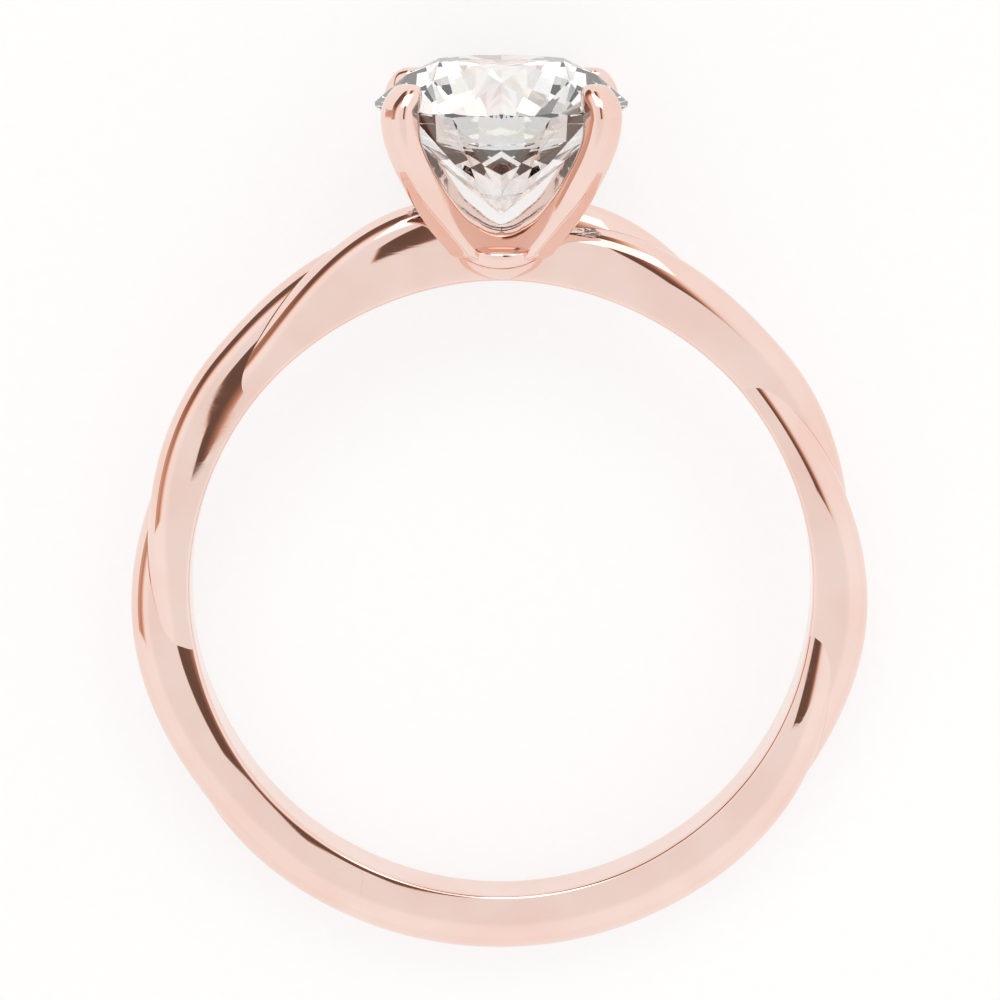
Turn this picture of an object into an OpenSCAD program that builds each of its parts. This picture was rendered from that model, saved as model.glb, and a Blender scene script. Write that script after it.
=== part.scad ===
// Ring with a twisted shank, a four-prong head and one round stone, lying on its side as it rests.
// Lengths are in millimetres and turns in degrees. +Y runs towards the head and +Z is up from the table.

/* [Finger hole] */
// Inside diameter
bore_d = 16.5; // [14:0.1:22]

/* [Shank] */
// Width along the finger
shank_w = 1.9; // [1.6:0.1:2.6]
// Thickness from the finger hole to the crests of the strands
shank_t = 1.6; // [1.4:0.05:2.2]
// How far each strand's middle stands off the middle of the shank
strand_step = 0.3; // [0.15:0.05:0.4]
// Turn round the ring in which the two strands change places
half_twist = 48.3; // [36:0.1:60]
// Turn under the head, to each side, in which the strands lie level
level_turn = 3; // [0:0.5:8]
// Turn from the head to where the twist starts to fade
fade_start = 90; // [80:1:120]
// Turn from the head to where the shank is plain
fade_end = 160; // [140:1:175]
// How much thicker the shank is at the head
shoulder_rise = 0.69; // [0.3:0.01:0.8]
// Turn from the head to where the shoulder starts to come down
shoulder_start = 14; // [10:1:20]
// Turn from the head to where the shoulder has come down
shoulder_end = 50; // [40:1:70]
// How far the outside stands to the left of the finger hole
off_centre = 0.06; // [0:0.01:0.12]

/* [Stone] */
// Diameter across the girdle
stone_d = 6.64; // [5.5:0.02:7.5]
// Diameter across the corners of the table
table_d = 3.54; // [3:0.02:4]
// Slope of the crown's main facets
crown_angle = 35.1; // [30:0.1:37]
// Slope of the pavilion's main facets
pavilion_angle = 40.8; // [39:0.1:42]
// Thickness of the girdle
girdle_t = 0.12; // [0.06:0.01:0.25]

/* [Head] */
// Height of the girdle's middle above the finger hole
girdle_h = 4.62; // [4.3:0.02:5.5]
// Thickness of a prong at the girdle
prong_t = 0.63; // [0.5:0.01:0.8]
// Width of a prong
prong_w = 0.87; // [0.7:0.01:1.1]
// Height of the prong tips above the girdle's middle
tip_h = 0.75; // [0.65:0.01:0.85]
// Reach of the prong tips over the crown, from the girdle inwards
tip_reach = 0.3; // [0.2:0.01:0.5]
// Gap between the stone and the metal
seat_gap = 0.04; // [0.02:0.01:0.08]

/* [Hidden] */
$fn = 96;

bore_r = bore_d / 2;
stone_r = stone_d / 2;
table_r = table_d / 2;

// Heights above the ring's middle
girdle_z = bore_r + girdle_h;
girdle_top = girdle_z + girdle_t / 2;
girdle_foot = girdle_z - girdle_t / 2;
table_z = girdle_top + (stone_r - table_r) * tan(crown_angle);
tip_z = girdle_z + tip_h;

// Where the middle of the plain half-round section lies above the finger hole
plain_mid = shank_t - shank_w / 2;
// How far the shank's loft runs inside the finger hole before the hole is cut
bore_spare = 2;
// A little more than a cut needs, so that it runs right through
through = 1;

// Sections of the shank's loft round the ring, and points round each one
SECTIONS = 120;
POINTS = 28;

// 0 at or before a, 1 at or after b, and smooth between them
function ease(a, b, x) = let (t = min(max((x - a) / (b - a), 0), 1)) t * t * (3 - 2 * t);

// How far each strand's middle stands off, once the fade is taken in.
// A turn is counted from the head, -180 to 180, clockwise as seen from the front.
function step_at(turn) = strand_step * (1 - ease(fade_start, fade_end, abs(turn)));

// Turn of the first strand about the shank's middle, 0 where it is outermost
function strand_turn(turn) = sign(turn) * 180 * max(abs(turn) - level_turn, 0) / half_twist;

// Height of the shank's middle above the finger hole
function mid_at(turn) =
    plain_mid + shoulder_rise * (1 - ease(shoulder_start, shoulder_end, abs(turn)))
    - off_centre * sin(turn);

// Distance from the shank's middle to the outside of one strand, in the direction aim.
// A strand is half round on top, and its sides run straight down to the finger hole.
function strand_reach(aim, own, step, r) =
    let (side = r + sign(sin(aim)) * step * sin(own),
         wall = side / max(abs(sin(aim)), 0.0001),
         swing = step * sin(aim - own))
    wall * cos(aim) <= step * cos(own) ? wall : step * cos(aim - own) + sqrt(r * r - swing * swing);

// Point of the section at a turn, as [across the finger, out from the finger hole]
function section_point(turn, aim) =
    let (step = step_at(turn),
         r = shank_w / 2 - step,
         own = strand_turn(turn),
         mid = mid_at(turn),
         floor_reach = (mid + bore_spare) / max(-cos(aim), 0.0001),
         reach = max(strand_reach(aim, own, step, r), strand_reach(aim, own + 180, step, r)),
         d = min(reach, floor_reach))
    [d * sin(aim), mid + d * cos(aim)];

// Turn of a section of the loft, which starts at the bottom of the ring
function loft_turn(k) = 360 * k / SECTIONS - 180;

// The loft's points follow the creases between the two strands, which lie at a right angle to them
function loft_aim(turn, i) = strand_turn(turn) + 90 + 360 * i / POINTS;

// Points by which the twist has run on where the two ends of the loft meet
seam_shift = round(2 * strand_turn(180) / 360 * POINTS) % POINTS;

function loft_points() = [
    for (k = [0 : SECTIONS - 1], i = [0 : POINTS - 1])
        let (turn = loft_turn(k),
             p = section_point(turn, loft_aim(turn, i)),
             out = bore_r + p[1])
        [out * sin(turn), p[0], out * cos(turn)]
];

function loft_faces() = [
    for (k = [0 : SECTIONS - 1], i = [0 : POINTS - 1])
        let (last = k == SECTIONS - 1,
             next = last ? 0 : k + 1,
             slide = last ? seam_shift : 0,
             a = k * POINTS + i,
             b = k * POINTS + (i + 1) % POINTS,
             c = next * POINTS + (i + 1 + slide) % POINTS,
             d = next * POINTS + (i + slide) % POINTS)
        each [[a, b, c], [a, c, d]]
];

module shank_loft() {
    polyhedron(points = loft_points(), faces = loft_faces(), convexity = 6);
}

module finger_hole() {
    rotate([90, 0, 0]) cylinder(h = stone_d, r = bore_r, center = true);
}

// Outside of the head from its foot up to the girdle, as shares of the prongs' full radius
// and of the girdle's height. The first rows up to the cup's rim run right round.
OUT_SHARES = [
    [0.14, 0.01], [0.21, 0.037], [0.277, 0.071], [0.325, 0.106], [0.3735, 0.156], [0.41, 0.19],
    [0.5625, 0.331], [0.7325, 0.496], [0.83, 0.615], [0.915, 0.734], [0.975, 0.851],
    [0.9975, 0.963], [1, 1],
];
RIM_ROW = 4;
// Inside of the head from its floor up to the girdle, as shares of the seat's radius
// and of the girdle's height. The first rows are the top of the crossing bars.
IN_SHARES = [
    [0, 0.216], [0.185, 0.221], [0.268, 0.229], [0.47, 0.3225], [0.64, 0.431],
    [0.726, 0.53], [0.905, 0.727], [0.982, 0.85], [1, 0.94],
];
BARS_ROW = 3;
// Top of the cup, between the bars: [share of the cup's rim radius, share of the girdle's height]
CUP_SHARE = [0.83, 0.184];
seat_r = stone_r + seat_gap;
prong_r = seat_r + prong_t;
tip_r = stone_r - tip_reach;

function head_line(shares, r) = [for (s = shares) [r * s[0], bore_r + girdle_h * s[1]]];
OUTSIDE = head_line(OUT_SHARES, prong_r);
INSIDE = head_line(IN_SHARES, seat_r);
cup_top_r = OUTSIDE[RIM_ROW][0] * CUP_SHARE[0];
cup_top_z = bore_r + girdle_h * CUP_SHARE[1];

// Prong's tip from the outside to its inner end, as shares of its span from that end outwards
// and of its height above the girdle's middle
TIP_SHARES = [[0.96, 0.24], [0.835, 0.53], [0.68, 0.83], [0.495, 1], [0.29, 1], [0.08, 0.91], [0, 0.75]];

// Height of the seat's upper side, a gap away from the crown
function seat_top(r) = girdle_top + (stone_r - r) * tan(crown_angle) + seat_gap / cos(crown_angle);

// Section of a prong: out and over the tip, back along the crown, round the girdle and down inside
PRONG_SECTION = concat(
    OUTSIDE,
    [for (s = TIP_SHARES) [tip_r + (prong_r - tip_r) * s[0], girdle_z + tip_h * s[1]]],
    [[tip_r, seat_top(tip_r)], [seat_r, seat_top(seat_r)]],
    [for (i = [len(INSIDE) - 1 : -1 : 0]) INSIDE[i]],
    [[0, OUTSIDE[0][1]]]
);

// Plan of a prong's tip, which narrows to a blunt point: shares of its length, and of half its width
CLAW_SHARES = [[0, 1], [0.25, 0.82], [0.5, 0.62], [0.75, 0.38], [0.92, 0.17]];
claw_length = 0.54 * prong_w;

// The prongs are bars of a bowl, in two slabs that cross, and their tips narrow in plan
module prongs() {
    intersection() {
        rotate_extrude() polygon(PRONG_SECTION);
        for (side = [-45, 45])
            rotate([0, 0, side])
                translate([0, 0, girdle_z]) cube([3 * stone_d, prong_w, 2 * girdle_z], center = true);
        claws();
    }
}

module claw_plan() {
    side = [for (c = CLAW_SHARES) [tip_r + claw_length * (1 - c[0]), c[1] * prong_w / 2]];
    polygon(concat(
        [[stone_d, -prong_w], [stone_d, prong_w], [side[0][0], prong_w]],
        side,
        [for (i = [len(side) - 1 : -1 : 0]) [side[i][0], -side[i][1]]],
        [[side[0][0], -prong_w]]
    ));
}

module claws() {
    cylinder(h = girdle_z, r = stone_d);
    for (turn = [45 : 90 : 315])
        rotate([0, 0, turn]) translate([0, 0, bore_r]) linear_extrude(height = girdle_z) claw_plan();
}

// Foot of the head, soldered into the shank
module cup() {
    rotate_extrude() polygon(concat(
        [[0, bore_r - through], [OUTSIDE[0][0], bore_r - through]],
        [for (i = [0 : RIM_ROW]) OUTSIDE[i]],
        [[cup_top_r, cup_top_z], [0, cup_top_z]]
    ));
}

// Room inside the head, taken from the shank. It runs a little into the prongs and the cup.
module head_room() {
    lap = 0.1;
    rotate_extrude() polygon(concat(
        [[0, cup_top_z - lap], [cup_top_r, cup_top_z - lap]],
        [for (i = [BARS_ROW : len(INSIDE) - 1]) INSIDE[i] + [lap, -lap / 2]],
        [[seat_r + lap, table_z], [0, table_z]]
    ));
}

module ring_metal() {
    difference() {
        union() {
            difference() {
                shank_loft();
                head_room();
            }
            cup();
            prongs();
        }
        finger_hole();
    }
}

// Round brilliant, with a flat of its table to the front. The star facets come half way to the girdle.
FOLD = 8;
HALF_FACET = 180 / FOLD;
flat_r = table_r * cos(HALF_FACET);
star_r = (flat_r + stone_r) / 2;
star_z = girdle_top + (stone_r - star_r * cos(HALF_FACET)) * tan(crown_angle);
low_r = 0.23 * stone_r;
low_z = girdle_foot - (stone_r - low_r * cos(HALF_FACET)) * tan(pavilion_angle);
culet_z = girdle_foot - stone_r * tan(pavilion_angle);

function loop(count, r, start, z) = [
    for (i = [0 : count - 1])
        let (a = start + 360 * i / count) [r * cos(a), r * sin(a), z]
];

// Loops of points, from the table down, and where each starts in the list
STONE_POINTS = concat(
    loop(FOLD, table_r, HALF_FACET, table_z),
    loop(FOLD, star_r, 2 * HALF_FACET, star_z),
    loop(2 * FOLD, stone_r, HALF_FACET, girdle_top),
    loop(2 * FOLD, stone_r, HALF_FACET, girdle_foot),
    loop(FOLD, low_r, 2 * HALF_FACET, low_z),
    [[0, 0, culet_z]]
);
STAR = FOLD;
TOP = 2 * FOLD;
FOOT = 4 * FOLD;
LOW = 6 * FOLD;
CULET = 7 * FOLD;

module stone() {
    table = [[for (i = [FOLD - 1 : -1 : 0]) i]];
    crown = [
        for (i = [0 : FOLD - 1])
            let (n = (i + 1) % FOLD, p = (i + FOLD - 1) % FOLD,
                 g = 2 * i, h = 2 * i + 1, k = (2 * i + 2) % TOP)
            each [[i, n, STAR + i], [i, STAR + i, TOP + g, STAR + p],
                  [STAR + i, TOP + h, TOP + g], [STAR + i, TOP + k, TOP + h]]
    ];
    girdle = [
        for (j = [0 : TOP - 1])
            let (n = (j + 1) % TOP) [TOP + j, TOP + n, FOOT + n, FOOT + j]
    ];
    pavilion = [
        for (i = [0 : FOLD - 1])
            let (p = (i + FOLD - 1) % FOLD, g = 2 * i, h = 2 * i + 1, k = (2 * i + 2) % TOP)
            each [[LOW + i, FOOT + g, FOOT + h], [LOW + i, FOOT + h, FOOT + k],
                  [CULET, LOW + p, FOOT + g, LOW + i]]
    ];
    polyhedron(points = STONE_POINTS, faces = concat(table, crown, girdle, pavilion), convexity = 2);
}

// The ring lies on the girdle of its stone and on the bottom of its shank, so its head is raised
foot_r = bore_r + plain_mid;
rest_span = girdle_foot + foot_r;
rest_tilt = atan2(stone_r, rest_span) - asin(shank_w / 2 / norm([stone_r, rest_span]));
rest_lift = stone_r * cos(rest_tilt) - girdle_foot * sin(rest_tilt);
// Ends of the lying ring along +Y: the table's far edge, and the bottom of the shank
far_end = table_z * cos(rest_tilt) + flat_r * sin(rest_tilt);
near_end = -foot_r * cos(rest_tilt) - shank_w / 2;

module at_rest() {
    translate([off_centre, -(far_end + near_end) / 2, rest_lift]) rotate([rest_tilt - 90, 0, 0]) children();
}

module shank_and_head() {
    color([0.86, 0.62, 0.54]) at_rest() ring_metal();
}

module round_stone() {
    color([0.93, 0.95, 0.97]) at_rest() stone();
}

shank_and_head();
round_stone();
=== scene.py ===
"""Ring with a twisted shank, a four-prong head and one round stone, lying on its side.

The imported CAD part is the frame. Its metal and its stone are replaced by finer pieces, which
are built in millimetres with the finger hole's middle as origin, and then laid at rest.
"""

from __future__ import annotations

import logging
import math
from dataclasses import dataclass, field
from enum import Enum

import bmesh
import bpy
from mathutils import Matrix, Vector

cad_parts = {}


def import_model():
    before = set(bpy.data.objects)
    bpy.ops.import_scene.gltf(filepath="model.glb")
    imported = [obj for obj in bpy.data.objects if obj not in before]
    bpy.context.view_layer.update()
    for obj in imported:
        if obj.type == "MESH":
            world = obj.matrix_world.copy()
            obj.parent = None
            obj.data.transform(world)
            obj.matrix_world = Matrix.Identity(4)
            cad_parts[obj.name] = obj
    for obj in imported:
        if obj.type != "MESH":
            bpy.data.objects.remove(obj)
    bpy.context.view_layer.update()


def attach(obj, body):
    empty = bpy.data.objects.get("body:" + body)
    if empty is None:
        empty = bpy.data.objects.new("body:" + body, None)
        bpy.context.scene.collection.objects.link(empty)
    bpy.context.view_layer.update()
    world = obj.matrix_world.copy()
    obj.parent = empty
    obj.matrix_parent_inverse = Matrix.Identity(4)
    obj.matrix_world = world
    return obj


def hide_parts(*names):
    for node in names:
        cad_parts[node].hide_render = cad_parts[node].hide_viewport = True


log = logging.getLogger("twisted_ring")

MM = 0.001
ROOT = "root"


@dataclass(frozen=True)
class Sizes:
    """The ring's sizes in millimetres and degrees, as the CAD source has them."""

    bore_r: float = 8.25
    shank_w: float = 1.9
    shank_t: float = 1.6
    strand_step: float = 0.3
    half_twist: float = 48.3
    level_turn: float = 3.0
    fade: tuple[float, float] = (90.0, 160.0)
    shoulder_rise: float = 0.69
    shoulder: tuple[float, float] = (14.0, 50.0)
    off_centre: float = 0.06
    stone_r: float = 3.32
    table_r: float = 1.77
    crown_angle: float = 35.1
    pavilion_angle: float = 40.8
    girdle_t: float = 0.12
    girdle_h: float = 4.62
    prong_w: float = 0.87

    @property
    def plain_mid(self) -> float:
        """Height of the plain section's middle above the finger hole."""
        return self.shank_t - self.shank_w / 2

    @property
    def girdle_z(self) -> float:
        """Height of the girdle's middle above the ring's middle."""
        return self.bore_r + self.girdle_h

    @property
    def table_z(self) -> float:
        """Height of the table above the ring's middle."""
        rise = (self.stone_r - self.table_r) * math.tan(math.radians(self.crown_angle))
        return self.girdle_z + self.girdle_t / 2 + rise


@dataclass(frozen=True)
class RestPose:
    """How the ring lies: on the girdle of its stone and on the bottom of its shank."""

    sizes: Sizes

    @property
    def tilt(self) -> float:
        """Angle in radians by which the head is raised."""
        s = self.sizes
        span = s.girdle_z - s.girdle_t / 2 + s.bore_r + s.plain_mid
        return math.atan2(s.stone_r, span) - math.asin(s.shank_w / 2 / math.hypot(s.stone_r, span))

    def matrix(self) -> Matrix:
        """Take a point from the ring's own millimetres to the row frame's metres.

        Returns:
            The transform from the upright ring to the ring at rest.
        """
        s, t = self.sizes, self.tilt
        foot = s.girdle_z - s.girdle_t / 2
        lift = s.stone_r * math.cos(t) - foot * math.sin(t)
        flat_r = s.table_r * math.cos(math.pi / 8)
        far = s.table_z * math.cos(t) + flat_r * math.sin(t)
        near = -(s.bore_r + s.plain_mid) * math.cos(t) - s.shank_w / 2
        move = Matrix.Translation(Vector((s.off_centre, -(far + near) / 2, lift)) * MM)
        return move @ Matrix.Rotation(t - math.pi / 2, 4, "X") @ Matrix.Scale(MM, 4)


def ease(start: float, end: float, x: float) -> float:
    """Smooth step from 0 to 1.

    Args:
        start: Value of x at which it is still 0.
        end: Value of x at which it has become 1.
        x: Where to read it.

    Returns:
        The step's height, 0 to 1.
    """
    t = min(max((x - start) / (end - start), 0.0), 1.0)
    return t * t * (3 - 2 * t)


def along(line: list[tuple[float, ...]], steps: int) -> list[tuple[float, ...]]:
    """Run a smooth curve through a list of points.

    Args:
        line: The points, with any number of coordinates.
        steps: Points of the curve for each gap in the list.

    Returns:
        The curve's points, both ends included.
    """
    padded = [line[0], *line, line[-1]]
    made = []
    for i in range(1, len(padded) - 2):
        p, q, r, s = padded[i - 1 : i + 3]
        for k in range(steps):
            t = k / steps
            made.append(
                tuple(
                    0.5 * (2 * b + (c - a) * t + (2 * a - 5 * b + 4 * c - d) * t**2
                           + (3 * b - a - 3 * c + d) * t**3)
                    for a, b, c, d in zip(p, q, r, s)
                )
            )
    made.append(tuple(line[-1]))
    return made


class PieceMaker:
    """Turns rings of points into closed pieces that ride on the frame."""

    SHARP = math.radians(38)
    """Angle between two faces from which on their edge is shaded sharp."""
    MERGE = 1e-5
    """Distance in millimetres below which two points become one."""

    def __init__(self, pose: RestPose) -> None:
        self.matrix = pose.matrix()

    def sweep(self, rings: list[list[Vector]]) -> bmesh.types.BMesh:
        """Skin a row of rings that have as many points each, and fill both ends.

        Args:
            rings: The rings in order.

        Returns:
            The closed mesh.
        """
        bm = bmesh.new()
        column = bm.verts.layers.int.new("column")
        start = bmesh.ops.create_circle(bm, segments=len(rings[0]), cap_ends=False)["verts"]
        for i, v in enumerate(start):
            v[column] = i
            v.co = rings[0][i]
        edges = first = list(bm.edges)
        for ring in rings[1:]:
            made = bmesh.ops.extrude_edge_only(bm, edges=edges)["geom"]
            for v in made:
                if isinstance(v, bmesh.types.BMVert):
                    v.co = ring[v[column]]
            edges = [e for e in made if isinstance(e, bmesh.types.BMEdge)]
            edges = [e for e in edges if len(e.link_faces) == 1]
        bmesh.ops.edgeloop_fill(bm, edges=edges)
        bmesh.ops.edgeloop_fill(bm, edges=first)
        return bm

    def hoop(self, rings: list[list[Vector]], radius: float) -> bmesh.types.BMesh:
        """Skin a row of rings that closes round the finger.

        Args:
            rings: The rings in order, at even turns from the bottom of the ring.
            radius: A radius that keeps them clear of the middle while they are spun.

        Returns:
            The closed mesh.
        """
        bm = bmesh.new()
        column = bm.verts.layers.int.new("column")
        count = len(rings)
        start = bmesh.ops.create_circle(bm, segments=len(rings[0]), radius=1.0)["verts"]
        for i, v in enumerate(start):
            v[column] = i
        bmesh.ops.translate(bm, verts=bm.verts, vec=(0, 0, -radius))
        bmesh.ops.rotate(bm, verts=bm.verts, cent=(0, 0, -radius),
                         matrix=Matrix.Rotation(math.pi / 2, 3, "Y"))
        bmesh.ops.spin(bm, geom=bm.verts[:] + bm.edges[:], cent=(0, 0, 0), axis=(0, 1, 0),
                       angle=2 * math.pi, steps=count, use_merge=True)
        for v in bm.verts:
            turn = math.atan2(-v.co.x, -v.co.z) / (2 * math.pi)
            v.co = rings[round(turn * count) % count][v[column]]
        return bm

    def carve(self, bm: bmesh.types.BMesh, tool: bmesh.types.BMesh) -> bmesh.types.BMesh:
        """Take one mesh out of another.

        Args:
            bm: The mesh that is cut. It is freed.
            tool: The mesh that is taken out. It is freed.

        Returns:
            What is left.
        """
        parts = []
        for source in (bm, tool):
            bmesh.ops.recalc_face_normals(source, faces=source.faces)
            mesh = bpy.data.meshes.new("carving")
            source.to_mesh(mesh)
            source.free()
            obj = bpy.data.objects.new("carving", mesh)
            bpy.context.scene.collection.objects.link(obj)
            parts.append(obj)
        cut = parts[0].modifiers.new("cut", "BOOLEAN")
        cut.operation, cut.solver, cut.object = "DIFFERENCE", "EXACT", parts[1]
        made = bmesh.new()
        made.from_object(parts[0], bpy.context.evaluated_depsgraph_get())
        for obj in parts:
            mesh = obj.data
            bpy.data.objects.remove(obj)
            bpy.data.meshes.remove(mesh)
        return made

    def revolve(self, line: list[tuple[float, float]], steps: int) -> bmesh.types.BMesh:
        """Turn a line about the head's axis.

        Args:
            line: Points as radius and height, from the axis and back to it.
            steps: Parts of the full turn.

        Returns:
            The closed mesh.
        """
        bm = bmesh.new()
        verts = [bm.verts.new((r, 0, z)) for r, z in line]
        edges = [bm.edges.new(pair) for pair in zip(verts, verts[1:])]
        bmesh.ops.spin(bm, geom=verts + edges, cent=(0, 0, 0), axis=(0, 0, 1),
                       angle=2 * math.pi, steps=steps, use_merge=True)
        bmesh.ops.remove_doubles(bm, verts=bm.verts, dist=self.MERGE)
        return bm

    def finish(self, bm: bmesh.types.BMesh, name: str, node: str, slot: str,
               finish: bpy.types.Material, smooth: bool = True) -> bpy.types.Object:
        """Lay a mesh at rest and make it a piece.

        Args:
            bm: The mesh in the ring's millimetres. It is freed.
            name: The piece's name.
            node: The CAD node that it stands for.
            slot: The record's material slot. It is not used.
            finish: The material.
            smooth: Whether faces are shaded smooth, apart from sharp edges.

        Returns:
            The piece.
        """
        bmesh.ops.recalc_face_normals(bm, faces=bm.faces)
        bm.transform(self.matrix)
        for f in bm.faces:
            f.smooth = smooth
        mesh = bpy.data.meshes.new(name)
        bm.to_mesh(mesh)
        bm.free()
        if smooth:
            mesh.set_sharp_from_angle(angle=self.SHARP)
        mesh.materials.append(finish)
        obj = bpy.data.objects.new(name, mesh)
        bpy.context.scene.collection.objects.link(obj)
        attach(obj, ROOT)
        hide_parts(node)
        log.info("%s: %d faces", name, len(mesh.polygons))
        return obj


class Strand(Enum):
    """The shank's two strands, by their turn about its middle under the head."""

    UPPER = 0
    LOWER = 180


@dataclass
class Shank:
    """Two half-round strands that twist round each other and fade into one plain band."""

    sizes: Sizes
    sections: int = 720
    """Sections of a strand round the finger."""
    room_steps: int = 96
    """Parts of the full turn of the room inside the head."""
    edge_r: float = 0.12
    """Rounding where a strand's sides meet the finger hole."""
    crown_r: float = 2.6
    """Radius of the gentle curve of a strand's sides towards the finger hole."""
    crown_share: float = 0.72
    """Where that curve starts, as a share of the height of the strand's middle."""
    crown_slope: float = 0.16
    """The curve's slope from which on the sides run straight."""
    tuck: float = 0.004
    """How much the lower strand is smaller, so that no two faces lie in one place."""
    room: list[tuple[float, float]] = field(default_factory=lambda: [
        (0.0, 0.75), (1.2, 0.75), (1.3, 0.8), (1.68, 1.44), (2.25, 1.94), (2.54, 2.4),
        (3.14, 3.31), (3.4, 4.2), (3.4, 5.0), (0.0, 5.0),
    ])
    """Room inside the head: radius from its axis, and height above the finger hole."""
    INSIDE_SHARES = (0, 0.4, 0.8)
    """Points from the middle of a strand's inside to its rounded edge, as shares of that way."""
    EDGE_STEPS = 6
    """Parts of the rounded edge."""
    SIDE_SHARES = (0.12, 0.24, 0.36, 0.48, 0.58, 0.68, 0.84)
    """Points from the rounded edge up to the strand's middle, as shares of that height."""
    ROUND_STEPS = 20
    """Parts of the quarter circle from there to the strand's crest."""

    def mid(self, turn: float) -> float:
        """Height of the shank's middle above the finger hole at a turn from the head."""
        s = self.sizes
        rise = s.shoulder_rise * (1 - ease(*s.shoulder, abs(turn)))
        return s.plain_mid + rise - s.off_centre * math.sin(math.radians(turn))

    def side(self, drop: float) -> float:
        """How far a strand's side has drawn in at a drop below the start of its curve."""
        drop, bend = max(drop, 0.0), self.crown_slope * self.crown_r
        if drop < bend:
            return drop ** 2 / (2 * self.crown_r)
        return self.crown_slope * (drop - bend / 2)

    def arch(self, turn: float, strand: Strand) -> list[tuple[float, float]]:
        """Outline of one strand's section, round from the middle of its inside.

        Args:
            turn: Degrees from the head, clockwise from the front.
            strand: Which of the two.

        Returns:
            Points as across the finger and out from the finger hole.
        """
        s = self.sizes
        step = s.strand_step * (1 - ease(*s.fade, abs(turn)))
        shrink = self.tuck if strand is Strand.LOWER else 0.0
        r = s.shank_w / 2 - step - shrink
        own = math.radians(strand.value + math.copysign(
            180 * max(abs(turn) - s.level_turn, 0) / s.half_twist, turn))
        x, z = step * math.sin(own), self.mid(turn) + step * math.cos(own)
        e, low, start = self.edge_r, shrink, self.crown_share * z
        lean = math.atan(min(max(start - e, 0.0) / self.crown_r, self.crown_slope))
        foot = r - self.side(start - e)
        bend = [(math.pi / 2 - lean) * k / self.EDGE_STEPS for k in range(self.EDGE_STEPS + 1)]
        quarter = [math.pi / 2 * k / self.ROUND_STEPS for k in range(self.ROUND_STEPS)]
        half = [(t * (foot - e), low) for t in self.INSIDE_SHARES]
        half += [(foot - e + e * math.sin(a), low + e - e * math.cos(a)) for a in bend]
        base = half[-1][1]
        heights = [base + t * (z - base) for t in self.SIDE_SHARES]
        half += [(r - self.side(start - h), h) for h in heights]
        half += [(r * math.cos(a), z + r * math.sin(a)) for a in quarter]
        full = half + [(0.0, z + r)] + [(-px, pz) for px, pz in half[:0:-1]]
        return [(x + px, pz) for px, pz in full]

    def ring(self, turn: float, strand: Strand) -> list[Vector]:
        """One ring of a strand's points in the ring's millimetres."""
        a, r = math.radians(turn), self.sizes.bore_r
        return [Vector(((r + z) * math.sin(a), x, (r + z) * math.cos(a)))
                for x, z in self.arch(turn, strand)]

    def build(self, maker: PieceMaker, metal: bpy.types.Material) -> None:
        """Make both strands, without the room inside the head."""
        turns = [360 * k / self.sections - 180 for k in range(self.sections)]
        room_line = [(r, self.sizes.bore_r + z) for r, z in self.room]
        for strand in Strand:
            bm = maker.hoop([self.ring(t, strand) for t in turns], self.sizes.bore_r)
            bm = maker.carve(bm, maker.revolve(room_line, self.room_steps))
            maker.finish(bm, f"strand_{strand.name.lower()}", "shank_and_head", "metal", metal)


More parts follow.
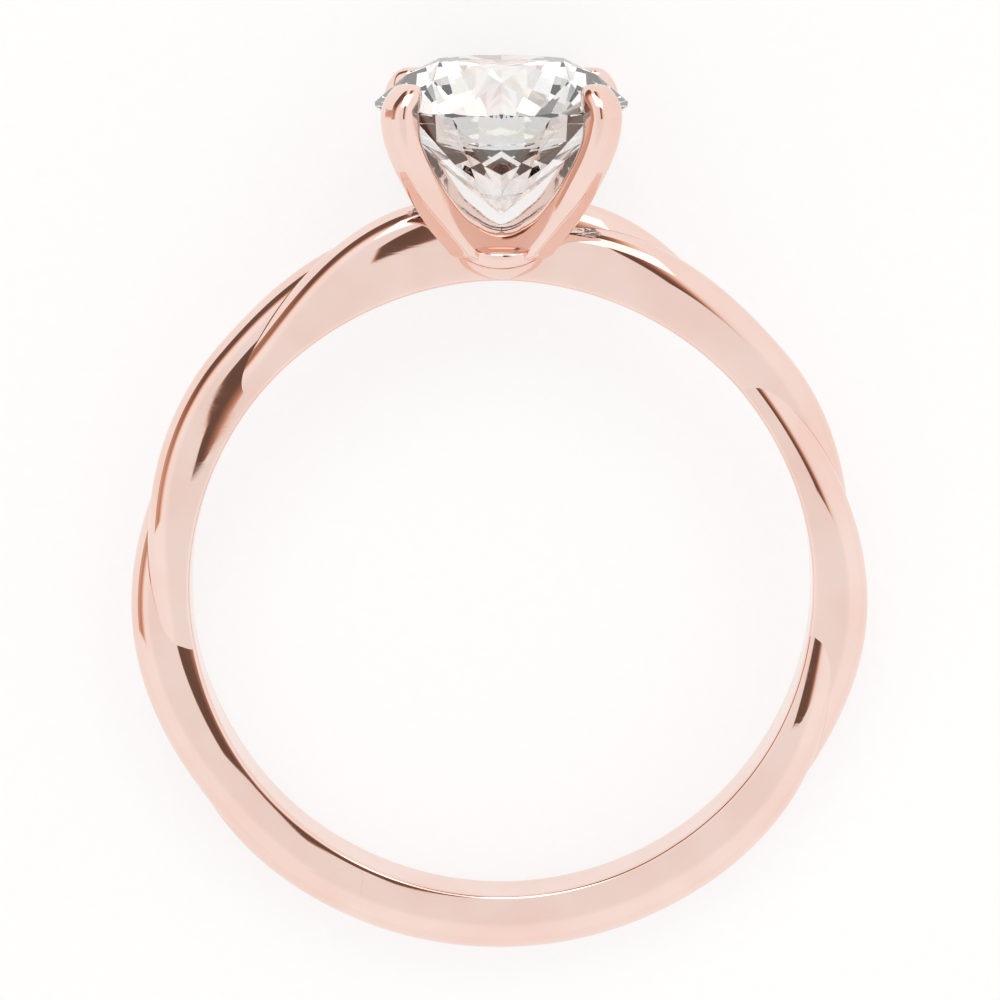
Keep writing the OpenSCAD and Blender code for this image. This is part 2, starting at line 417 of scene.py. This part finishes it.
@dataclass
class Head:
    """A cup, and two bars that cross in it and rise as four prongs over the stone's edge."""

    sizes: Sizes
    cup: list[tuple[float, float]] = field(default_factory=lambda: [
        (0.0, 0.028), (0.3, 0.028), (0.559, 0.046), (0.84, 0.178), (1.08, 0.325), (1.22, 0.46),
        (1.31, 0.6), (1.34, 0.72), (1.33, 0.795), (1.285, 0.845), (1.21, 0.86), (1.12, 0.85),
        (0.9, 0.8), (0.5, 0.78), (0.0, 0.78),
    ])
    """Section of the cup, from its foot over its rim to its floor: radius, and height above the
    finger hole."""
    bar: list[tuple[float, ...]] = field(default_factory=lambda: [
        (0.0, 0.45, 0.0, 1.4), (0.55, 0.5, 0.34, 1.42), (1.1, 0.56, 0.66, 1.5),
        (1.5, 0.712, 0.94, 1.62), (1.66, 0.862, 1.1, 1.71), (2.31, 1.48, 1.72, 2.02),
        (3.01, 2.22, 2.4, 2.53), (3.42, 2.78, 2.81, 3.02), (3.77, 3.35, 3.13, 3.48),
        (4.02, 3.92, 3.37, 3.96), (4.115, 4.45, 3.43, 4.4), (4.1, 4.7, 3.43, 4.64),
        (4.03, 4.9, 3.4, 4.715), (3.89, 5.1, 3.33, 4.745), (3.71, 5.27, 3.25, 4.787),
        (3.5, 5.36, 3.17, 4.836), (3.27, 5.35, 3.1, 4.885), (3.11, 5.25, 3.06, 4.915),
    ])
    """Stations of a bar from the axis to its tip: outside radius and height, then inside."""
    nose: tuple[tuple[float, float], ...] = ((0.045, 0.8), (0.065, 0.45))
    """Rounded end of a tip: how far past the last station, and the section's size there."""
    turns: tuple[float, float] = (45.0, 135.0)
    """How far each bar is turned about the head's axis, in degrees."""
    outer_edge_r: tuple[float, float] = (0.12, 0.33)
    inner_edge_r: tuple[float, float] = (0.3, 0.09)
    """Rounding of a bar's outer and inner edges, in the cup and at the stone."""
    edge_rise: tuple[float, float] = (0.9, 2.6)
    """Heights between which the rounding changes from one to the other."""
    swell: float = 0.065
    """Extra half width of a prong, which makes up for its round edges in a view from the front."""
    swell_rise: tuple[float, float] = (0.7, 2.0)
    """Heights between which a bar swells to it."""
    claw_start: float = 3.5
    """Radius from which a tip narrows towards its end, which is at claw_end."""
    claw_end: float = 3.03
    claw_least: float = 0.04
    """Least share of the claw's length that still counts, which keeps its end blunt."""
    crossing_drop: float = 0.006
    """How much lower the second bar's inside lies where it crosses the first."""
    crossing: tuple[float, float] = (0.6, 1.4)
    """Radii between which that drop ends."""
    cup_steps: int = 160
    """Parts of the cup's full turn."""
    CUP_FILL = 4
    """Points of the smooth curve for each point of the cup's section."""
    BAR_FILL = 6
    """Sections of a bar for each of its stations."""
    CORNER_STEPS = 8
    """Parts of a bar's rounded outer edge. Its inner edge has half as many."""
    EDGE_LIMITS = (1.1, 1.9)
    """Most rounding, as shares of half the bar's thickness: the outer edge, and both together."""

    def half_width(self, radius: float, height: float) -> float:
        """Half of a prong's width at a radius and a height above the finger hole."""
        half = self.sizes.prong_w / 2 + self.swell * ease(*self.swell_rise, height)
        if height < self.sizes.girdle_h or radius > self.claw_start:
            return half
        run = (self.claw_start - radius) / (self.claw_start - self.claw_end)
        return half * math.sqrt(max(1 - run, self.claw_least))

    def outline(self, station: tuple[float, ...], scale: float, push: float) -> list[Vector]:
        """Section of a bar at a station, as a ring of points in the bar's own plane.

        Args:
            station: Outside radius and height, then inside radius and height.
            scale: Size of the section against the full one.
            push: How far the section is moved on past the station.

        Returns:
            Points along the bar, across it, and up.
        """
        s = self.sizes
        ro, zo, ri, zi = station
        outer, inner = Vector((ro, zo)), Vector((ri, zi))
        mid, thick = (outer + inner) / 2, (outer - inner).normalized()
        mid += Vector((-thick.y, thick.x)) * push
        a, b = (outer - inner).length / 2 * scale, s.prong_w / 2
        eo, ei = (low + (high - low) * ease(*self.edge_rise, zo)
                  for low, high in (self.outer_edge_r, self.inner_edge_r))
        eo = min(eo, self.EDGE_LIMITS[0] * a)
        ei = min(ei, self.EDGE_LIMITS[1] * a - eo)
        turn = [math.pi / 2 * k / self.CORNER_STEPS for k in range(self.CORNER_STEPS + 1)]
        half = [(b * t, a) for t in (0, 0.12, 0.24)]
        half += [(b - eo + eo * math.sin(t), a - eo + eo * math.cos(t)) for t in turn]
        half += [(b, -a + ei + (2 * a - eo - ei) * t) for t in (0.8, 0.6, 0.4, 0.2)]
        half += [(b - ei + ei * math.cos(t), -a + ei - ei * math.sin(t)) for t in turn[::2]]
        half += [(b * t, -a) for t in (0.55, 0.28)]
        full = half + [(0.0, -a)] + [(-u, v) for u, v in half[:0:-1]]
        made = []
        for u, v in full:
            p = mid + thick * v
            u *= self.half_width(p.x, zo) / b * scale
            made.append(Vector((p.x, u, s.bore_r + p.y)))
        return made

    def bar_rings(self, drop: float) -> list[list[Vector]]:
        """Rings of one bar from tip to tip, in its own plane.

        Args:
            drop: How much lower its middle lies, where the other bar crosses it.

        Returns:
            The rings.
        """
        stations = along(self.bar, self.BAR_FILL)
        half = [self.outline((ro, zo, ri, zi - drop * (1 - ease(*self.crossing, ri))), 1.0, 0.0)
                for ro, zo, ri, zi in stations]
        half += [self.outline(stations[-1], scale, push) for push, scale in self.nose]
        back = [[Vector((-p.x, p.y, p.z)) for p in ring] for ring in half[:0:-1]]
        return back + half

    def build(self, maker: PieceMaker, metal: bpy.types.Material) -> None:
        """Make the cup and both bars."""
        line = [(max(r, 0.0), self.sizes.bore_r + h) for r, h in along(self.cup, self.CUP_FILL)]
        cup = maker.revolve(line, self.cup_steps)
        maker.finish(cup, "head_cup", "shank_and_head", "metal", metal)
        for i, turn in enumerate(self.turns):
            bm = maker.sweep(self.bar_rings(self.crossing_drop * i))
            bm.transform(Matrix.Rotation(math.radians(turn), 4, "Z"))
            maker.finish(bm, f"head_bar_{i + 1}", "shank_and_head", "metal", metal)


@dataclass
class Stone:
    """Round brilliant with a flat of its table to the front. Its facets scallop its girdle."""

    sizes: Sizes
    fold: int = 8
    star_share: float = 0.5
    """How far the stars reach from the table's flat towards the girdle."""
    low_share: float = 0.23
    """Radius at which the lower girdle facets end, as a share of the stone's."""
    girdle_steps: int = 96
    """Flats of the round blank, which stand for a smooth girdle."""
    CUT = 1e-6
    """Distance in millimetres within which a point lies on a cut."""
    MERGE = 1e-4
    """Distance in millimetres below which two corners are one."""
    FLAT = math.radians(0.2)
    """Angle below which two faces are one facet."""

    def corner(self, turn: float, r: float, z: float) -> Vector:
        """A corner of a facet by its turn in degrees, its radius and its height."""
        a = math.radians(turn)
        return Vector((r * math.cos(a), r * math.sin(a), z))

    def facets(self) -> list[tuple[Vector, Vector, Vector]]:
        """Three corners of each facet, from the table to the culet.

        Returns:
            The corners, in the ring's millimetres.
        """
        s, half = self.sizes, 180 / self.fold
        c = math.cos(math.radians(half))
        crown, pavilion = (math.tan(math.radians(a)) for a in (s.crown_angle, s.pavilion_angle))
        top, foot = s.girdle_z + s.girdle_t / 2, s.girdle_z - s.girdle_t / 2
        flat_r = s.table_r * c
        star_r = flat_r + self.star_share * (s.stone_r - flat_r)
        low_r = self.low_share * s.stone_r
        culet = Vector((0, 0, foot - s.stone_r * pavilion))
        made = [tuple(self.corner(a, s.table_r, s.table_z) for a in (0, 120, 240))]
        for turn in (2 * half * i for i in range(self.fold)):
            table = [self.corner(turn + d, s.table_r, s.table_z) for d in (-half, half)]
            star = self.corner(turn, star_r, top + (s.stone_r - star_r * c) * crown)
            low = self.corner(turn, low_r, foot - (s.stone_r - low_r * c) * pavilion)
            upper, lower = ([self.corner(turn + d, s.stone_r, z) for d in (-half, 0, half)]
                            for z in (top, foot))
            made += [(*table, star), (table[1], star, upper[2]), (culet, low, lower[2])]
            made += [(star, upper[1], upper[k]) for k in (0, 2)]
            made += [(low, lower[1], lower[k]) for k in (0, 2)]
        return made

    def build(self, maker: PieceMaker, clear: bpy.types.Material) -> None:
        """Turn a round blank and grind its facets one by one."""
        s = self.sizes
        middle = Vector((0, 0, s.girdle_z))
        bm = bmesh.new()
        bmesh.ops.create_cone(bm, cap_ends=True, segments=self.girdle_steps, radius1=s.stone_r,
                              radius2=s.stone_r, depth=2 * s.stone_r)
        bmesh.ops.translate(bm, verts=bm.verts, vec=middle)
        for a, b, c in self.facets():
            out = (b - a).cross(c - a).normalized()
            if out.dot(a - middle) < 0:
                out.negate()
            cut = bmesh.ops.bisect_plane(
                bm, geom=bm.verts[:] + bm.edges[:] + bm.faces[:], dist=self.CUT, plane_co=a,
                plane_no=out, clear_outer=True)["geom_cut"]
            rim = [e for e in cut if isinstance(e, bmesh.types.BMEdge) and len(e.link_faces) == 1]
            bmesh.ops.edgeloop_fill(bm, edges=rim)
        bmesh.ops.remove_doubles(bm, verts=bm.verts, dist=self.MERGE)
        bmesh.ops.dissolve_limit(bm, angle_limit=self.FLAT, verts=bm.verts, edges=bm.edges)
        maker.finish(bm, "stone_cut", "round_stone", "stone", clear, smooth=False)


def srgb(code: str, alpha: float = 1.0) -> tuple[float, float, float, float]:
    """Turn a hex colour, as a screen shows it, into linear values.

    Args:
        code: Six hex digits.
        alpha: The fourth value.

    Returns:
        Linear red, green, blue and alpha.
    """
    parts = [int(code[i : i + 2], 16) / 255 for i in (0, 2, 4)]
    made = [p / 12.92 if p <= 0.04045 else ((p + 0.055) / 1.055) ** 2.4 for p in parts]
    return (*made, alpha)


class Nodes:
    """A node tree that is filled by short calls."""

    def __init__(self, tree: bpy.types.NodeTree) -> None:
        self.tree = tree
        tree.nodes.clear()

    def add(self, kind: str, inputs: dict[str | int, object] | None = None,
            **settings: object) -> bpy.types.Node:
        """Add a node.

        Args:
            kind: Its type name.
            inputs: Sockets by name or place, each a value or the output that feeds it.
            settings: Properties of the node.

        Returns:
            The node.
        """
        node = self.tree.nodes.new(kind)
        for name, value in settings.items():
            setattr(node, name, value)
        for name, value in (inputs or {}).items():
            if isinstance(value, bpy.types.NodeSocket):
                self.tree.links.new(value, node.inputs[name])
            else:
                node.inputs[name].default_value = value
        return node


def noise(n: Nodes, where: bpy.types.NodeSocket, size_mm: float,
          detail: float = 2.0) -> bpy.types.NodeSocket:
    """Draw a cloudy pattern.

    Args:
        n: The tree it goes into.
        where: Coordinates in metres.
        size_mm: Width of one cloud.
        detail: How finely the clouds break up.

    Returns:
        The pattern, mostly between 0.3 and 0.7.
    """
    node = n.add("ShaderNodeTexNoise", {
        "Vector": where, "Scale": 1 / (size_mm * MM), "Detail": detail})
    return node.outputs[0]


@dataclass(frozen=True)
class PolishedGold:
    """14-carat rose gold, cast and then polished by hand.

    It mirrors the studio in pale pink. The cloth leaves the surface faintly wavy and cloudy, and
    wear adds a few hairlines, so the mirror is a little soft in some places.
    """

    colour: str = "F4DAD0"
    warm: str = "F1CFC2"
    """The same alloy where the polish has drawn out more of its copper."""
    cloud_mm: float = 2.4
    cloud_stops: tuple[float, float] = (0.35, 0.75)
    """Parts of the cloud's pattern that show the one colour and the other."""
    roughness: tuple[float, float] = (0.03, 0.07)
    soft_stops: tuple[float, float] = (0.35, 0.7)
    """Parts of the same pattern that have the first roughness and the second."""
    wave_mm: float = 2.2
    wave_height_mm: float = 0.0006
    hairline: tuple[float, float] = (4.0, 0.45)
    """Length of a hairline and the space between two of them."""
    hairline_share: float = 0.045
    """Its width as a share of that space. Real ones are five times finer, and would not show."""
    hairline_depth_mm: float = 0.00012
    hairline_turns: tuple[float, float] = (25.0, 110.0)
    """The two ways they run, in degrees."""
    hairline_roughness: float = 0.05
    worn_mm: float = 3.1
    worn_stops: tuple[float, float] = (0.48, 0.6)
    """Size of the patches that are worn, and the part of their pattern where wear starts."""

    def hairlines(self, n: Nodes, where: bpy.types.NodeSocket, turn: float) -> bpy.types.NodeSocket:
        """Draw fine scratches that run one way.

        Args:
            n: The material's tree.
            where: Coordinates in metres.
            turn: Which way they run, in degrees.

        Returns:
            1 in a scratch and 0 beside it.
        """
        length, space = self.hairline
        stretch = (1 / (length * MM), 1 / (space * MM), 1 / (space * MM))
        angle = math.radians(turn)
        run = n.add("ShaderNodeMapping", {
            "Vector": where, "Rotation": (angle * 0.4, angle * 0.7, angle), "Scale": stretch})
        lines = n.add("ShaderNodeTexNoise", {"Vector": run.outputs[0], "Scale": 1.0, "Detail": 1.0})
        off = n.add("ShaderNodeMath", {0: lines.outputs[0], 1: 0.5}, operation="SUBTRACT")
        off = n.add("ShaderNodeMath", {0: off.outputs[0]}, operation="ABSOLUTE")
        return n.add("ShaderNodeMapRange", {
            "Value": off.outputs[0], "From Min": 0.0, "From Max": self.hairline_share,
            "To Min": 1.0, "To Max": 0.0}).outputs[0]

    def make(self) -> bpy.types.Material:
        """Build the material."""
        mat = bpy.data.materials.new("polished_rose_gold")
        mat.use_nodes = True
        n = Nodes(mat.node_tree)
        where = n.add("ShaderNodeTexCoord").outputs["Object"]
        cloud = noise(n, where, self.cloud_mm)
        tint = n.add("ShaderNodeValToRGB", {"Fac": cloud})
        low, high = tint.color_ramp.elements
        low.position, low.color = self.cloud_stops[0], srgb(self.colour)
        high.position, high.color = self.cloud_stops[1], srgb(self.warm)
        one_way, other_way = (self.hairlines(n, where, turn) for turn in self.hairline_turns)
        scratches = n.add("ShaderNodeMath", {0: one_way, 1: other_way}, operation="MAXIMUM")
        worn = n.add("ShaderNodeMapRange", {
            "Value": noise(n, where, self.worn_mm, 1.0),
            "From Min": self.worn_stops[0], "From Max": self.worn_stops[1]})
        scratches = n.add("ShaderNodeMath", {
            0: scratches.outputs[0], 1: worn.outputs[0]}, operation="MULTIPLY")
        soft = n.add("ShaderNodeMapRange", {
            "Value": cloud, "From Min": self.soft_stops[0], "From Max": self.soft_stops[1],
            "To Min": self.roughness[0], "To Max": self.roughness[1]})
        rough = n.add("ShaderNodeMath", {
            0: scratches.outputs[0], 1: self.hairline_roughness, 2: soft.outputs[0]},
            operation="MULTIPLY_ADD")
        waves = n.add("ShaderNodeBump", {
            "Height": noise(n, where, self.wave_mm, 1.0), "Strength": 1.0,
            "Distance": self.wave_height_mm * MM})
        fine = n.add("ShaderNodeBump", {
            "Height": scratches.outputs[0], "Strength": 1.0,
            "Distance": self.hairline_depth_mm * MM, "Normal": waves.outputs[0]}, invert=True)
        shader = n.add("ShaderNodeBsdfPrincipled", {
            "Base Color": tint.outputs[0], "Metallic": 1.0, "Roughness": rough.outputs[0],
            "Normal": fine.outputs[0]})
        n.add("ShaderNodeOutputMaterial", {"Surface": shader.outputs[0]})
        return mat


@dataclass(frozen=True)
class ClearStone:
    """Diamond, near colourless, cut and polished on a wheel.

    It bends light so far that most facets turn white, grey or black, and it splits the light
    into faint colours, which are laid in as pale tints. The wheel leaves a breath of haze.
    """

    ior: float = 2.417
    fire_mm: float = 1.1
    tints: tuple[str, ...] = ("F3FAFF", "FFFFFF", "FFFFFF", "FFF8EF", "F5FCF3")
    first_tint: float = 0.3
    tint_step: float = 0.1
    """Places of the tints in the pattern."""
    haze: tuple[float, float] = (0.0, 0.012)
    haze_mm: float = 0.4
    haze_stops: tuple[float, float] = (0.45, 0.75)

    def make(self) -> bpy.types.Material:
        """Build the material."""
        mat = bpy.data.materials.new("diamond")
        mat.use_nodes = True
        n = Nodes(mat.node_tree)
        where = n.add("ShaderNodeTexCoord").outputs["Object"]
        fire = n.add("ShaderNodeValToRGB", {"Fac": noise(n, where, self.fire_mm)})
        stops = fire.color_ramp.elements
        for _ in self.tints[len(stops):]:
            stops.new(0.5)
        for k, code in enumerate(self.tints):
            stops[k].position = self.first_tint + self.tint_step * k
            stops[k].color = srgb(code)
        haze = n.add("ShaderNodeMapRange", {
            "Value": noise(n, where, self.haze_mm),
            "From Min": self.haze_stops[0], "From Max": self.haze_stops[1],
            "To Min": self.haze[0], "To Max": self.haze[1]})
        shader = n.add("ShaderNodeBsdfPrincipled", {
            "Base Color": fire.outputs[0], "Roughness": haze.outputs[0], "IOR": self.ior,
            "Transmission Weight": 1.0})
        n.add("ShaderNodeOutputMaterial", {"Surface": shader.outputs[0]})
        return mat


@dataclass(frozen=True)
class OpalSheet:
    """Opal acrylic lit from below, as on a product table. Shadows on it stay pale, and it fills
    the stone and the underside of the ring with white. Its frosting is hardly visible.
    """

    colours: tuple[str, str] = ("8C8B8A", "929190")
    glow: float = 0.73
    frost_mm: float = 0.35
    frost_height_mm: float = 0.005

    def make(self) -> bpy.types.Material:
        """Build the material."""
        mat = bpy.data.materials.new("opal_acrylic")
        mat.use_nodes = True
        n = Nodes(mat.node_tree)
        frost = noise(n, n.add("ShaderNodeTexCoord").outputs["Object"], self.frost_mm)
        shade = n.add("ShaderNodeValToRGB", {"Fac": frost})
        for stop, code in zip(shade.color_ramp.elements, self.colours):
            stop.color = srgb(code)
        bump = n.add("ShaderNodeBump", {
            "Height": frost, "Strength": 1.0, "Distance": self.frost_height_mm * MM})
        shader = n.add("ShaderNodeBsdfPrincipled", {
            "Base Color": shade.outputs[0], "Roughness": 1.0, "Specular IOR Level": 0.0,
            "Emission Color": srgb("FFFFFF"), "Emission Strength": self.glow,
            "Normal": bump.outputs[0]})
        n.add("ShaderNodeOutputMaterial", {"Surface": shader.outputs[0]})
        return mat


@dataclass(frozen=True)
class RoomLight:
    """Light from all round: bright walls, with two dark gaps between the soft boxes.

    Their reflections draw the brown streaks on the strands and the bars. Places are shares of a
    direction along the upright ring's axes: to the right side, up, and to the front.
    """

    horizon_lean: float = -0.07
    horizon_drop: float = 0.17
    """The gaps end below at a horizon, which lies lower behind the ring than in front."""
    right_near: tuple[float, float] = (0.055, 0.075)
    right_far: tuple[float, float] = (0.46, 0.14)
    right_front: tuple[float, float] = (-0.05, 0.05)
    right_rise: tuple[float, float] = (0.0, 0.008)
    """Edges of the right gap, each from where it is bright to where it is dark."""
    left_side: tuple[float, float] = (-0.1, -0.3)
    left_front: tuple[float, float] = (0.62, 0.28)
    left_rise: tuple[float, float] = (0.0, 0.02)
    left_fade: tuple[float, float] = (-1.0, -0.82)
    left_fade_to: float = 0.5
    """Edges of the left gap, and how it fades at its far end."""
    shades: tuple[tuple[float, str], ...] = (
        (0.0, "FFFFFF"), (0.35, "F2CDB8"), (0.7, "B58571"), (1.0, "70594E"))
    """Colours from the bright wall to the dark middle of a gap."""
    zenith: tuple[float, float] = (0.75, 0.95)
    power: tuple[float, float] = (1.02, 0.93)
    """Strength of the light from the walls and from straight in front of the ring."""
    stone_power: float = 0.2
    stone_saturation: float = 0.25
    """How much stronger, and how colourful, the light is that the stone lets through."""

    def edge(self, n: Nodes, value: bpy.types.NodeSocket,
             ends: tuple[float, float]) -> bpy.types.NodeSocket:
        """Draw a soft edge.

        Args:
            n: The world's tree.
            value: Where a direction points along one axis.
            ends: Where the edge starts and where it is complete.

        Returns:
            0 before the edge and 1 beyond it.
        """
        return n.add("ShaderNodeMapRange", {
            "Value": value, "From Min": ends[0], "From Max": ends[1]},
            interpolation_type="SMOOTHSTEP").outputs[0]

    def join(self, n: Nodes, how: str, *values: bpy.types.NodeSocket | float
               ) -> bpy.types.NodeSocket:
        """Join values by one operation of the Math node."""
        return n.add("ShaderNodeMath", dict(enumerate(values)), operation=how).outputs[0]

    def gaps(self, n: Nodes, axes: bpy.types.Node) -> bpy.types.NodeSocket:
        """Draw both dark gaps.

        Args:
            n: The world's tree.
            axes: The direction's parts: side, up and front.

        Returns:
            0 on the bright walls and up to 1 in the gaps.
        """
        side, up, front = axes.outputs
        lean = self.join(n, "MULTIPLY_ADD", front, self.horizon_lean, self.horizon_drop)
        height = self.join(n, "ADD", up, lean)
        right = self.join(n, "MULTIPLY", self.edge(n, side, self.right_near),
                            self.edge(n, side, self.right_far))
        right = self.join(n, "MULTIPLY", right, self.edge(n, height, self.right_rise))
        right = self.join(n, "MULTIPLY", right, self.edge(n, front, self.right_front))
        left = self.join(n, "MULTIPLY", self.edge(n, side, self.left_side),
                           self.edge(n, front, self.left_front))
        left = self.join(n, "MULTIPLY", left, self.edge(n, height, self.left_rise))
        fade = n.add("ShaderNodeMapRange", {
            "Value": side, "From Min": self.left_fade[0], "From Max": self.left_fade[1],
            "To Min": self.left_fade_to, "To Max": 1.0}).outputs[0]
        return self.join(n, "MAXIMUM", right, self.join(n, "MULTIPLY", left, fade))

    def make(self, tilt: float) -> bpy.types.World:
        """Build the world.

        Args:
            tilt: Angle in radians by which the lying ring's head is raised.

        Returns:
            The world, which is turned with the ring.
        """
        world = bpy.data.worlds.new("studio")
        world.use_nodes = True
        n = Nodes(world.node_tree)
        turned = n.add("ShaderNodeVectorRotate", {
            "Vector": n.add("ShaderNodeTexCoord").outputs["Generated"], "Angle": -tilt},
            rotation_type="X_AXIS")
        axes = n.add("ShaderNodeSeparateXYZ", {"Vector": turned.outputs[0]})
        ramp = n.add("ShaderNodeValToRGB", {"Fac": self.gaps(n, axes)})
        stops = ramp.color_ramp.elements
        for _ in self.shades[len(stops):]:
            stops.new(0.5)
        for stop, (place, code) in zip(stops, self.shades):
            stop.position, stop.color = place, srgb(code)
        power = n.add("ShaderNodeMapRange", {
            "Value": self.edge(n, axes.outputs["Z"], self.zenith),
            "To Min": self.power[0], "To Max": self.power[1]}).outputs[0]
        stone = n.add("ShaderNodeLightPath").outputs["Is Transmission Ray"]
        grey = n.add("ShaderNodeHueSaturation", {
            "Color": ramp.outputs[0], "Saturation": self.stone_saturation})
        light = n.add("ShaderNodeMix", {
            "Factor": stone, 6: ramp.outputs[0], 7: grey.outputs[0]}, data_type="RGBA")
        power = self.join(n, "MULTIPLY_ADD", stone, self.stone_power, power)
        shader = n.add("ShaderNodeBackground", {"Color": light.outputs[2], "Strength": power})
        n.add("ShaderNodeOutputWorld", {"Surface": shader.outputs[0]})
        return world


@dataclass
class Studio:
    """A plain pale floor, the light round it and the camera."""

    pose: RestPose
    distance: float = 150.0
    elevation: float = 9.57
    """The camera's distance from its target in millimetres, and its angle above the ring."""
    target: tuple[float, float] = (-0.037, 2.33)
    """Where it aims: to the right of the ring's middle, and towards the head."""
    lens: float = 203.31
    clip: tuple[float, float] = (0.01, 5.0)
    floor_half: float = 0.3
    """Half of the floor's side in metres."""
    lamp_place: tuple[float, float, float] = (0.05, 0.42, 0.42)
    lamp_size: tuple[float, float] = (0.5, 0.35)
    lamp_energy: float = 0.75
    """The soft box, in metres and watts."""

    def floor(self) -> None:
        """Lay the floor."""
        bm = bmesh.new()
        bmesh.ops.create_grid(bm, x_segments=1, y_segments=1, size=self.floor_half)
        mesh = bpy.data.meshes.new("floor")
        bm.to_mesh(mesh)
        bm.free()
        mesh.materials.append(OpalSheet().make())
        floor = bpy.data.objects.new("floor", mesh)
        bpy.context.scene.collection.objects.link(floor)

    def world(self) -> None:
        """Light the studio from all round."""
        bpy.context.scene.world = RoomLight().make(self.pose.tilt)
        bpy.context.scene.view_settings.view_transform = "Standard"

    def lamp(self) -> None:
        """Hang a wide soft box beyond the head, which draws soft shadows towards the shank."""
        data = bpy.data.lights.new("soft_box", "AREA")
        data.shape = "RECTANGLE"
        data.size, data.size_y = self.lamp_size
        data.energy = self.lamp_energy
        lamp = bpy.data.objects.new("soft_box", data)
        place = Vector(self.lamp_place)
        lamp.location = place
        lamp.rotation_euler = place.to_track_quat("Z", "Y").to_euler()
        bpy.context.scene.collection.objects.link(lamp)

    def camera(self) -> None:
        """Put the camera at the photo's place to the ring."""
        e = math.radians(self.elevation)
        back = Vector((0, -math.cos(e), math.sin(e)))
        aim = Vector((self.target[0], 0, self.target[1]))
        right = Vector((1, 0, 0))
        up = back.cross(right)
        own = Matrix((right, up, back)).transposed().to_4x4()
        own.translation = aim + back * self.distance
        world = self.pose.matrix() @ own
        data = bpy.data.cameras.new("camera")
        data.lens = self.lens
        data.clip_start, data.clip_end = self.clip
        cam = bpy.data.objects.new("camera", data)
        cam.matrix_world = Matrix.LocRotScale(world.to_translation(), world.to_quaternion(), None)
        bpy.context.scene.collection.objects.link(cam)
        bpy.context.scene.camera = cam

    def build(self) -> None:
        """Make the floor, the lights and the camera."""
        self.floor()
        self.world()
        self.lamp()
        self.camera()


def main() -> None:
    """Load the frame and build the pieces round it."""
    logging.basicConfig(level=logging.INFO, format="%(name)s: %(message)s")
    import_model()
    sizes = Sizes()
    pose = RestPose(sizes)
    maker = PieceMaker(pose)
    metal = PolishedGold().make()
    Shank(sizes).build(maker, metal)
    Head(sizes).build(maker, metal)
    Stone(sizes).build(maker, ClearStone().make())
    Studio(pose).build()


if __name__ == "__main__":
    main()
